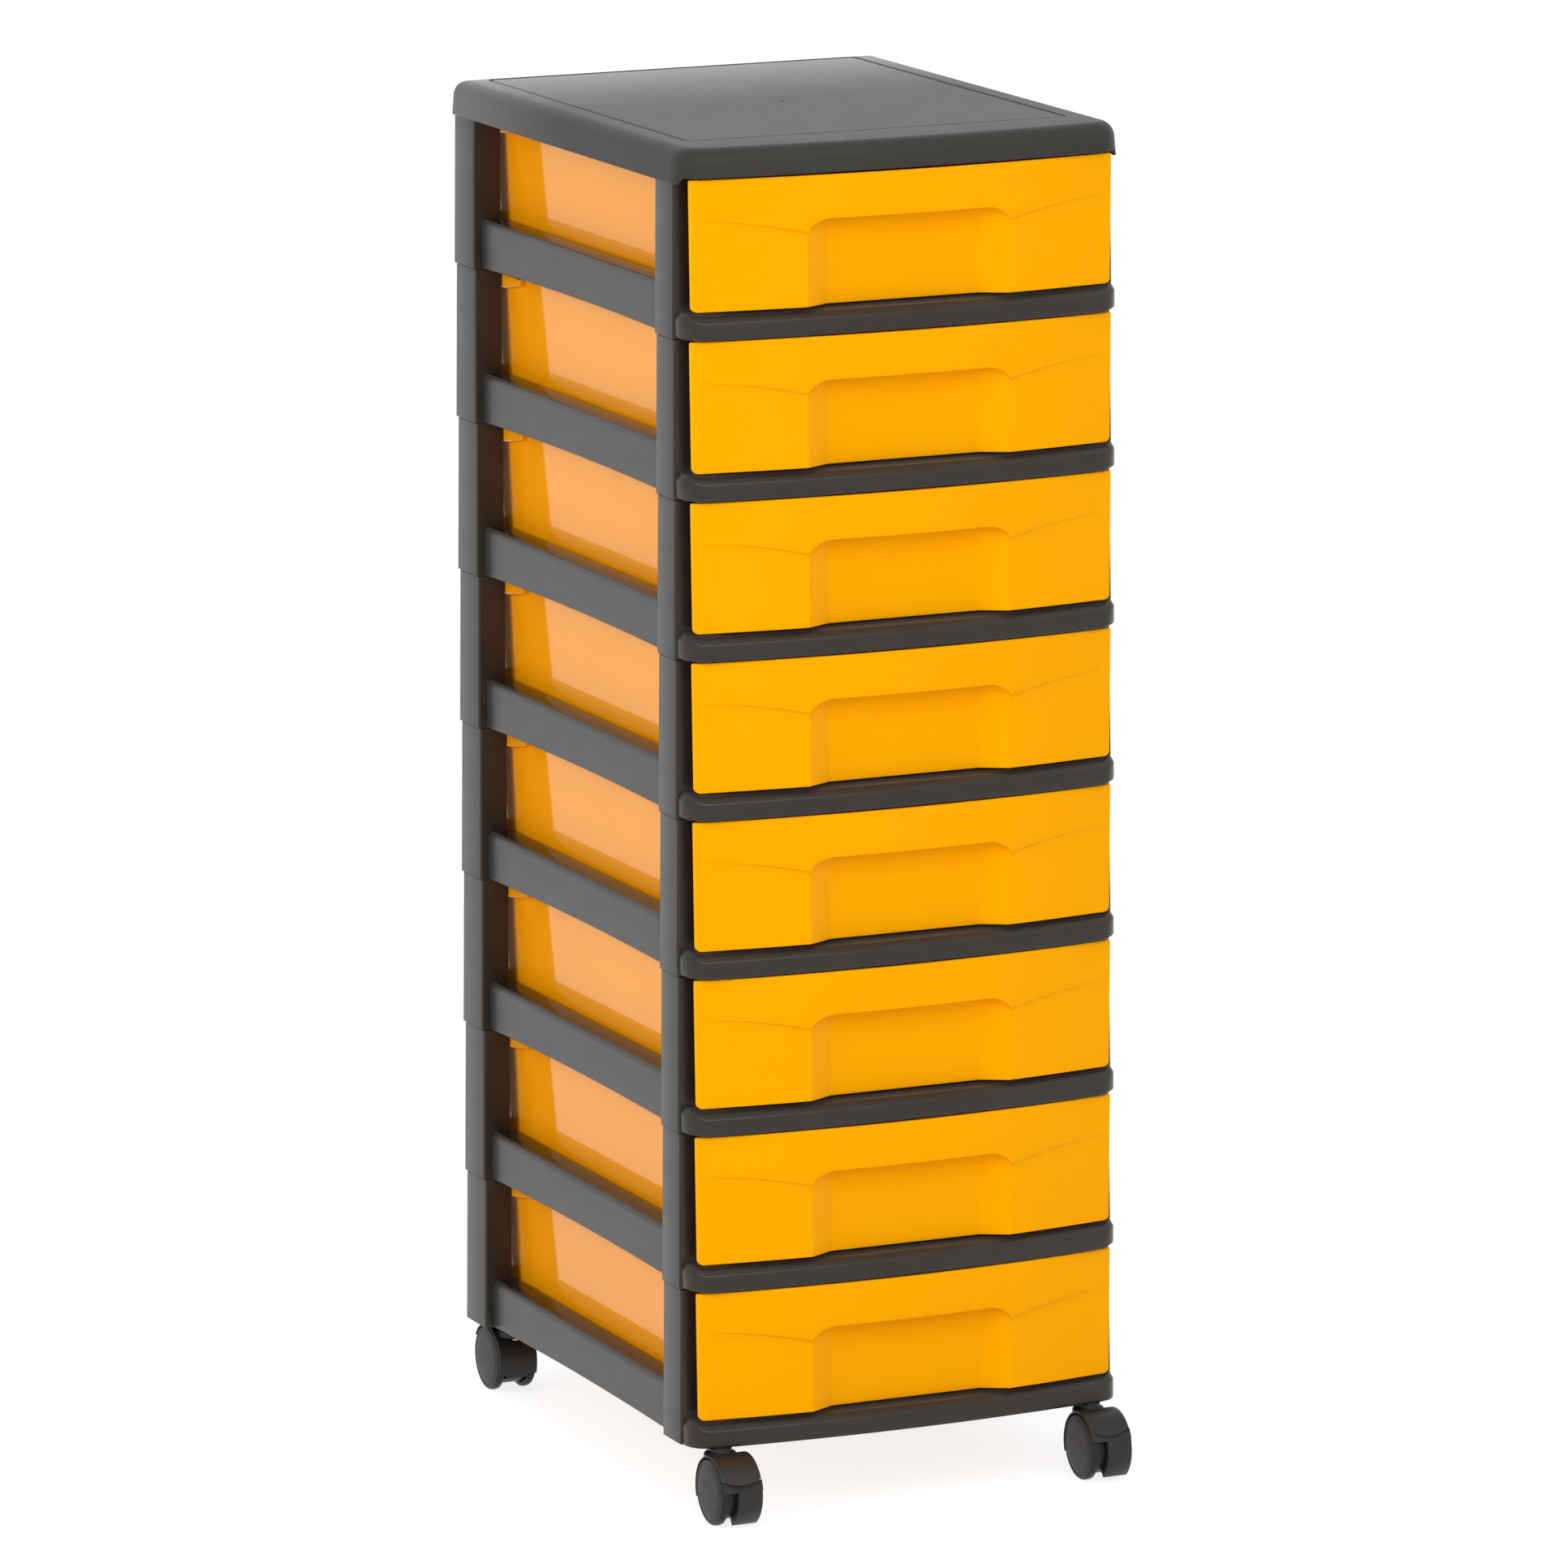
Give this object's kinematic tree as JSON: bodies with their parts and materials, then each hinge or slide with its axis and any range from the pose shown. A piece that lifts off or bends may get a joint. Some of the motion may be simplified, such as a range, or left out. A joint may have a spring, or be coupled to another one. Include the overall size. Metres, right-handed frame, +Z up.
{
  "type": "drawer tower",
  "caption": "Tall narrow storage tower of stacked open plastic frames, each with a bow-fronted pull-out drawer, under a rounded cover and on swivel casters.",
  "frame": {"origin": "centre of the tower's footprint, on the floor", "axes": "+X to the right seen from the drawers' fronts, +Y to the back, +Z up"},
  "size_m": [0.2864, 0.3906, 0.8215],
  "materials": {
    "frame_plastic": "fine satin grain",
    "cover_plastic": "fine satin grain",
    "drawer_plastic": "smooth, slightly translucent yellow",
    "caster_plastic": "satin",
    "wheel_plastic": "satin",
    "pin_steel": "plain turned"
  },
  "bodies": {
    "stack": {"top_cover": "cover_plastic", "frame_1": "frame_plastic", "frame_2": "frame_plastic", "frame_3": "frame_plastic", "frame_4": "frame_plastic", "frame_5": "frame_plastic", "frame_6": "frame_plastic", "frame_7": "frame_plastic", "frame_8": "frame_plastic", "front_left_stem": "pin_steel", "front_right_stem": "pin_steel", "rear_left_stem": "pin_steel", "rear_right_stem": "pin_steel"},
    "drawer_1": {"drawer_1": "drawer_plastic"},
    "drawer_2": {"drawer_2": "drawer_plastic"},
    "drawer_3": {"drawer_3": "drawer_plastic"},
    "drawer_4": {"drawer_4": "drawer_plastic"},
    "drawer_5": {"drawer_5": "drawer_plastic"},
    "drawer_6": {"drawer_6": "drawer_plastic"},
    "drawer_7": {"drawer_7": "drawer_plastic"},
    "drawer_8": {"drawer_8": "drawer_plastic"},
    "front_left_caster": {"front_left_hood": "caster_plastic", "front_left_axle": "pin_steel"},
    "front_left_outer_wheel": {"front_left_outer_wheel": "wheel_plastic"},
    "front_left_inner_wheel": {"front_left_inner_wheel": "wheel_plastic"},
    "front_left_brake_lever": {"front_left_brake_lever": "caster_plastic"},
    "front_right_caster": {"front_right_hood": "caster_plastic", "front_right_axle": "pin_steel"},
    "front_right_outer_wheel": {"front_right_outer_wheel": "wheel_plastic"},
    "front_right_inner_wheel": {"front_right_inner_wheel": "wheel_plastic"},
    "front_right_brake_lever": {"front_right_brake_lever": "caster_plastic"},
    "rear_left_caster": {"rear_left_hood": "caster_plastic", "rear_left_axle": "pin_steel"},
    "rear_left_outer_wheel": {"rear_left_outer_wheel": "wheel_plastic"},
    "rear_left_inner_wheel": {"rear_left_inner_wheel": "wheel_plastic"},
    "rear_right_caster": {"rear_right_hood": "caster_plastic", "rear_right_axle": "pin_steel"},
    "rear_right_outer_wheel": {"rear_right_outer_wheel": "wheel_plastic"},
    "rear_right_inner_wheel": {"rear_right_inner_wheel": "wheel_plastic"}
  },
  "joints": [
    {"name": "drawer_1_slide", "type": "slide", "parent": "stack", "child": "drawer_1", "axis": [0, -1, 0], "range_m": [0, 0.25]},
    {"name": "drawer_2_slide", "type": "slide", "parent": "stack", "child": "drawer_2", "axis": [0, -1, 0], "range_m": [0, 0.25]},
    {"name": "drawer_3_slide", "type": "slide", "parent": "stack", "child": "drawer_3", "axis": [0, -1, 0], "range_m": [0, 0.25]},
    {"name": "drawer_4_slide", "type": "slide", "parent": "stack", "child": "drawer_4", "axis": [0, -1, 0], "range_m": [0, 0.25]},
    {"name": "drawer_5_slide", "type": "slide", "parent": "stack", "child": "drawer_5", "axis": [0, -1, 0], "range_m": [0, 0.25]},
    {"name": "drawer_6_slide", "type": "slide", "parent": "stack", "child": "drawer_6", "axis": [0, -1, 0], "range_m": [0, 0.25]},
    {"name": "drawer_7_slide", "type": "slide", "parent": "stack", "child": "drawer_7", "axis": [0, -1, 0], "range_m": [0, 0.25]},
    {"name": "drawer_8_slide", "type": "slide", "parent": "stack", "child": "drawer_8", "axis": [0, -1, 0], "range_m": [0, 0.25]},
    {"name": "front_left_swivel", "type": "hinge", "parent": "stack", "child": "front_left_caster", "pos_m": [-0.1214, -0.15981, 0.04], "axis": [0, 0, 1], "continuous": true},
    {"name": "front_left_outer_wheel_roll", "type": "hinge", "parent": "front_left_caster", "child": "front_left_outer_wheel", "pos_m": [-0.1214, -0.17281, 0.02], "axis": [1, 0, 0], "continuous": true},
    {"name": "front_left_inner_wheel_roll", "type": "hinge", "parent": "front_left_caster", "child": "front_left_inner_wheel", "pos_m": [-0.1214, -0.17281, 0.02], "axis": [1, 0, 0], "continuous": true},
    {"name": "front_left_brake_press", "type": "hinge", "parent": "front_left_caster", "child": "front_left_brake_lever", "pos_m": [-0.1214, -0.17281, 0.02], "axis": [1, 0, 0], "range_deg": [-10, 0]},
    {"name": "front_right_swivel", "type": "hinge", "parent": "stack", "child": "front_right_caster", "pos_m": [0.1214, -0.15981, 0.04], "axis": [0, 0, 1], "continuous": true},
    {"name": "front_right_outer_wheel_roll", "type": "hinge", "parent": "front_right_caster", "child": "front_right_outer_wheel", "pos_m": [0.1214, -0.17281, 0.02], "axis": [1, 0, 0], "continuous": true},
    {"name": "front_right_inner_wheel_roll", "type": "hinge", "parent": "front_right_caster", "child": "front_right_inner_wheel", "pos_m": [0.1214, -0.17281, 0.02], "axis": [1, 0, 0], "continuous": true},
    {"name": "front_right_brake_press", "type": "hinge", "parent": "front_right_caster", "child": "front_right_brake_lever", "pos_m": [0.1214, -0.17281, 0.02], "axis": [1, 0, 0], "range_deg": [0, 10]},
    {"name": "rear_left_swivel", "type": "hinge", "parent": "stack", "child": "rear_left_caster", "pos_m": [-0.1214, 0.16229, 0.04], "axis": [0, 0, 1], "continuous": true},
    {"name": "rear_left_outer_wheel_roll", "type": "hinge", "parent": "rear_left_caster", "child": "rear_left_outer_wheel", "pos_m": [-0.1214, 0.17529, 0.02], "axis": [1, 0, 0], "continuous": true},
    {"name": "rear_left_inner_wheel_roll", "type": "hinge", "parent": "rear_left_caster", "child": "rear_left_inner_wheel", "pos_m": [-0.1214, 0.17529, 0.02], "axis": [1, 0, 0], "continuous": true},
    {"name": "rear_right_swivel", "type": "hinge", "parent": "stack", "child": "rear_right_caster", "pos_m": [0.1214, 0.16229, 0.04], "axis": [0, 0, 1], "continuous": true},
    {"name": "rear_right_outer_wheel_roll", "type": "hinge", "parent": "rear_right_caster", "child": "rear_right_outer_wheel", "pos_m": [0.1214, 0.17529, 0.02], "axis": [1, 0, 0], "continuous": true},
    {"name": "rear_right_inner_wheel_roll", "type": "hinge", "parent": "rear_right_caster", "child": "rear_right_inner_wheel", "pos_m": [0.1214, 0.17529, 0.02], "axis": [1, 0, 0], "continuous": true}
  ]
}
